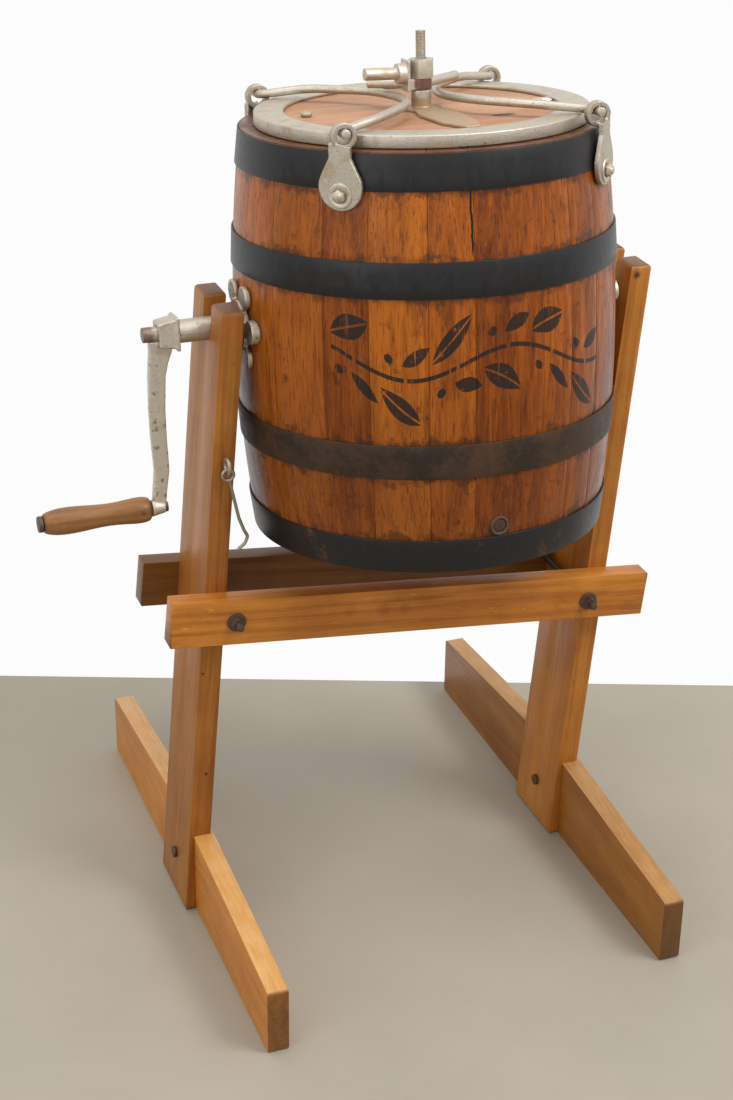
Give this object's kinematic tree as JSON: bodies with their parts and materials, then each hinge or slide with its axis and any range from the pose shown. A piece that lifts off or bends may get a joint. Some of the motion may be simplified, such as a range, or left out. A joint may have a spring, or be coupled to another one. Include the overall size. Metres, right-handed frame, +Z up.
{
  "type": "barrel churn",
  "caption": "Stave barrel churn with iron hoops and a clamped lid, turned end over end by a hand crank in a leaning wooden stand.",
  "frame": {"origin": "on the floor, in the middle of the outline in X and Y", "axes": "+Z up; +X from the crank side to the far post; -Y towards the front rail and the drain"},
  "size_m": [0.693, 0.634, 0.9751],
  "materials": {
    "pine": "varnished",
    "oak": "varnished",
    "lid_board": "worn",
    "worn_iron": "rusty",
    "black_iron": "worn black paint",
    "dark_steel": "rusty",
    "grip_wood": "worn",
    "cork": "dull",
    "tinned_iron": "tinned, dull"
  },
  "bodies": {
    "stand": {"foot_bolt_left": "dark_steel", "foot_bolt_right": "dark_steel", "foot_left": "pine", "foot_right": "pine", "post_left": "pine", "post_right": "pine", "rail_back": "pine", "rail_front": "pine", "tie_bolt_left": "dark_steel", "tie_bolt_right": "dark_steel", "tie_nut_left": "dark_steel", "tie_nut_right": "dark_steel", "screw_eye": "dark_steel"},
    "barrel": {"bottom_head": "oak", "crank": "tinned_iron", "drain_bush": "tinned_iron", "hoop_bottom": "black_iron", "hoop_second": "black_iron", "hoop_third": "worn_iron", "hoop_top": "black_iron", "lug_back_left": "tinned_iron", "lug_back_right": "tinned_iron", "lug_bolt_back_left": "dark_steel", "lug_bolt_back_right": "dark_steel", "lug_bolt_front_left": "dark_steel", "lug_bolt_front_right": "dark_steel", "lug_front_left": "tinned_iron", "lug_front_right": "tinned_iron", "spindle": "dark_steel", "stave_01": "oak", "stave_02": "oak", "stave_03": "oak", "stave_04": "oak", "stave_05": "oak", "stave_06": "oak", "stave_07": "oak", "stave_08": "oak", "stave_09": "oak", "stave_10": "oak", "stave_11": "oak", "stave_12": "oak", "stave_13": "oak", "stave_14": "oak", "stave_15": "oak", "stave_16": "oak", "stave_17": "oak", "trunnion_left": "tinned_iron", "trunnion_right": "tinned_iron"},
    "lid": {"lid_foot": "tinned_iron", "lid_gasket": "cork", "lid_peg": "lid_board", "lid_ring": "tinned_iron", "lid_wood": "lid_board"},
    "hook": {"hook": "dark_steel"},
    "grip": {"grip": "grip_wood"},
    "clamp_head": {"clamp_head": "tinned_iron"},
    "clamp_nut": {"clamp_nut": "tinned_iron"},
    "bail_left": {"bail_left": "tinned_iron"},
    "bail_right": {"bail_right": "tinned_iron"},
    "drain_plug": {"drain_plug": "cork"}
  },
  "joints": [
    {"name": "barrel_spin", "type": "hinge", "parent": "stand", "child": "barrel", "pos_m": [0.08754, 0, 0.691], "axis": [1, 0, 0], "continuous": true},
    {"name": "grip_spin", "type": "hinge", "parent": "barrel", "child": "grip", "pos_m": [-0.28246, -0.01877, 0.50394], "axis": [1, 0, 0], "continuous": true},
    {"name": "lid_ease", "type": "slide", "parent": "barrel", "child": "lid", "axis": [0, 0.0998, 0.995], "range_m": [0, 0.0065]},
    {"name": "head_clamp", "type": "slide", "parent": "lid", "child": "clamp_head", "axis": [0, -0.0998, -0.995], "range_m": [-0.215, 0]},
    {"name": "nut_turn", "type": "hinge", "parent": "clamp_head", "child": "clamp_nut", "pos_m": [0.08754, 0.02466, 0.93677], "axis": [0, 0.0998, 0.995], "continuous": true},
    {"name": "bail_left_swing", "type": "hinge", "parent": "barrel", "child": "bail_left", "pos_m": [-0.04746, 0.02126, 0.90284], "axis": [0, 0.995, -0.0998], "range_deg": [-100.5, 0]},
    {"name": "bail_right_swing", "type": "hinge", "parent": "barrel", "child": "bail_right", "pos_m": [0.22254, 0.02126, 0.90284], "axis": [0, 0.995, -0.0998], "range_deg": [0, 100.5]},
    {"name": "hook_swing", "type": "hinge", "parent": "stand", "child": "hook", "pos_m": [-0.15266, -0.0592, 0.551], "axis": [0, 1, 0], "range_deg": [-5, 80]},
    {"name": "drain_pull", "type": "slide", "parent": "barrel", "child": "drain_plug", "axis": [0.0122, -0.9949, 0.0998], "range_m": [0, 0.03]}
  ],
  "couplings": [
    {"joint": "bail_left_swing", "follows": "head_clamp", "rad_per_m": 8.12},
    {"joint": "bail_right_swing", "follows": "head_clamp", "rad_per_m": -8.12},
    {"joint": "lid_ease", "follows": "head_clamp", "ratio": -0.03}
  ]
}
